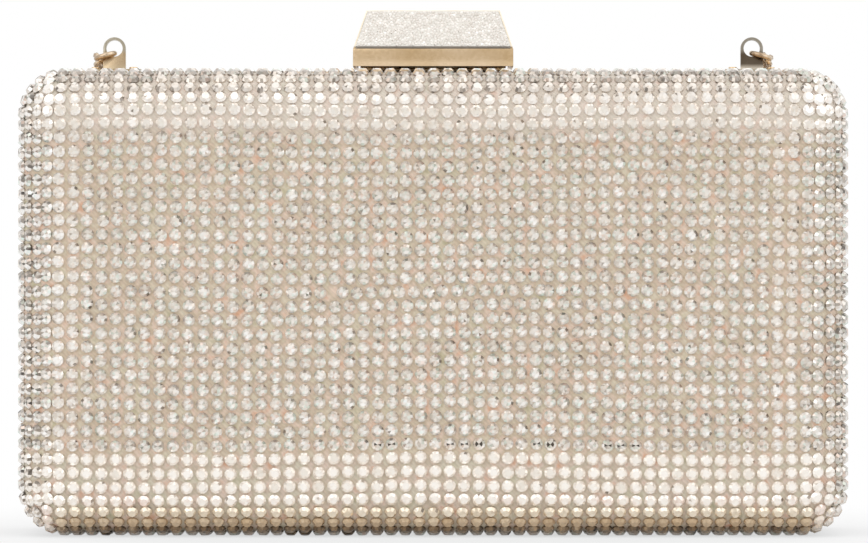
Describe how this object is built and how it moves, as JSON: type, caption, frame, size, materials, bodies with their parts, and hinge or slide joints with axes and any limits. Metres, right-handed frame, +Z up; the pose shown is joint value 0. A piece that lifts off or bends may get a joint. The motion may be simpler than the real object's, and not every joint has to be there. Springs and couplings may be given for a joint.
{
  "type": "minaudiere",
  "caption": "Rigid box clutch with rounded edges, covered in small crystals on beige cloth, with a gold frame, a lift clasp with a crystal face, and a shoulder chain laid behind it.",
  "frame": {"origin": "middle of the bottom of the closed bag without its chain, on the surface it stands on", "axes": "+Z up, +X to the right as the front is seen, +Y towards the back; the halves meet at y = 0"},
  "size_m": [0.19, 0.1044, 0.1206],
  "materials": {
    "crystal_cloth": "flat backed crystals set close together on beige cloth",
    "shell_moulding": "moulded",
    "frame_gold": "polished pale gold plate",
    "lining_cloth": "padded board covered with suede like cloth",
    "hinge_brass": "brushed",
    "rivet_gold": "polished",
    "pin_steel": "ground",
    "spring_steel": "drawn wire",
    "clasp_gold": "polished pale gold plate",
    "clasp_crystals": "fine random crystals",
    "hook_steel": "stamped",
    "chain_gold": "polished pale gold plate"
  },
  "bodies": {
    "back_case": {"back_shell": "shell_moulding", "back_crystal_skin": "crystal_cloth", "back_frame": "frame_gold", "back_lining": "lining_cloth", "slip_pocket": "lining_cloth", "back_hinge_leaf": "hinge_brass", "back_leaf_rivets": "rivet_gold", "hinge_pin": "pin_steel", "clasp_base": "frame_gold", "clasp_base_screws": "rivet_gold", "clasp_pivot_pin": "pin_steel", "clasp_spring": "spring_steel", "left_chain_lug": "frame_gold", "right_chain_lug": "frame_gold", "lug_rivets": "rivet_gold", "left_end_ring": "chain_gold", "right_end_ring": "chain_gold", "chain_left_drop": "chain_gold", "chain_coil": "chain_gold", "chain_right_drop": "chain_gold"},
    "front_case": {"front_shell": "shell_moulding", "front_crystal_skin": "crystal_cloth", "front_frame": "frame_gold", "front_lining": "lining_cloth", "front_hinge_leaf": "hinge_brass", "front_leaf_rivets": "rivet_gold", "clasp_keeper": "frame_gold", "keeper_rivets": "rivet_gold"},
    "clasp": {"clasp_cover": "clasp_gold", "clasp_crystal_plate": "clasp_crystals", "clasp_hook": "hook_steel", "hook_screws": "hook_steel"}
  },
  "joints": [
    {"name": "front_opening", "type": "hinge", "parent": "back_case", "child": "front_case", "pos_m": [0, 0, 0.00218], "axis": [1, 0, 0], "range_deg": [0, 90]},
    {"name": "clasp_lift", "type": "hinge", "parent": "back_case", "child": "clasp", "pos_m": [0, 0.005, 0.1108], "axis": [-1, 0, 0], "range_deg": [0, 20], "stiffness_Nm_per_rad": 0.05, "springref_deg": -20.05, "deforming": ["clasp_spring"]}
  ]
}
